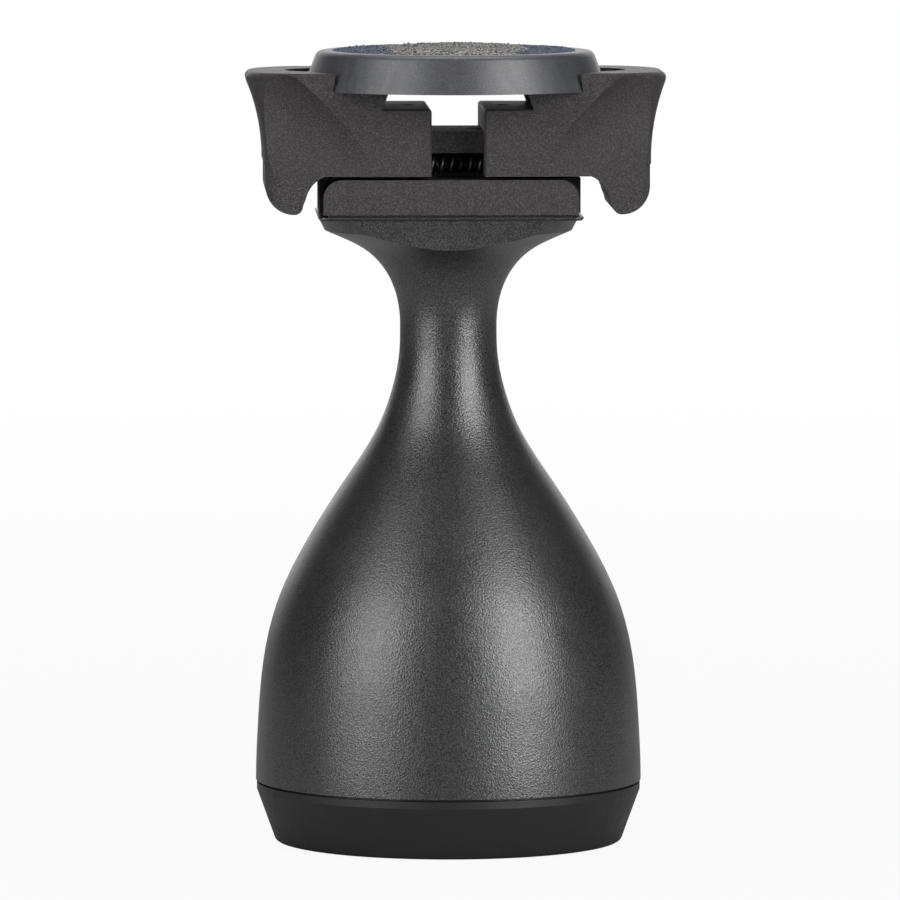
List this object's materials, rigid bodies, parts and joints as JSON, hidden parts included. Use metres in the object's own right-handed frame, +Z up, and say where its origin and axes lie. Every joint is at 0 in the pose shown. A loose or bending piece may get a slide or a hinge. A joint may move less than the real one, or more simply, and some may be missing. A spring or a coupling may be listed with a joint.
{
  "type": "miniature painting handle",
  "caption": "Weighted bulb grip with a narrow neck, topped by a spring-closed sliding jaw clamp that holds a round miniature base while it is painted.",
  "frame": {"origin": "middle of the round foot, on the surface that the handle stands on", "axes": "+Z up along the grip; X along the clamp's rail, the right jaw opening towards +X; -Y is the front"},
  "size_m": [0.044, 0.0406, 0.0833],
  "materials": {
    "grip_plastic": "fine leathery grain, satin",
    "cap_plastic": "smooth satin",
    "head_plastic": "fine matte grain",
    "base_plastic": "smooth satin side, gritty top",
    "screw_steel": "zinc plated",
    "spring_steel": "drawn wire",
    "ballast_iron": "plain",
    "insert_brass": "turned"
  },
  "bodies": {
    "handle": {"grip_shell": "grip_plastic", "base_cap": "cap_plastic", "ballast_weight": "ballast_iron", "neck_screw": "screw_steel", "neck_washer": "screw_steel", "thread_insert": "insert_brass", "head_block": "head_plastic", "slide_rail": "head_plastic", "rail_screw_left": "screw_steel", "rail_screw_right": "screw_steel", "front_spring": "spring_steel", "back_spring": "spring_steel", "miniature_base": "base_plastic", "cap_screw_1": "screw_steel", "cap_screw_2": "screw_steel", "cap_screw_3": "screw_steel"},
    "left_jaw": {"left_jaw": "head_plastic", "left_stop_screw": "screw_steel"},
    "right_jaw": {"right_jaw": "head_plastic", "right_stop_screw": "screw_steel"}
  },
  "joints": [
    {"name": "left_jaw_slide", "type": "slide", "parent": "handle", "child": "left_jaw", "axis": [-1, 0, 0], "range_m": [0, 0.0054], "stiffness_N_per_m": 600, "springref_m": -0.005, "deforming": ["front_spring", "back_spring"]},
    {"name": "right_jaw_slide", "type": "slide", "parent": "handle", "child": "right_jaw", "axis": [1, 0, 0], "range_m": [0, 0.004], "stiffness_N_per_m": 600, "springref_m": -0.005, "deforming": ["front_spring", "back_spring"]}
  ]
}
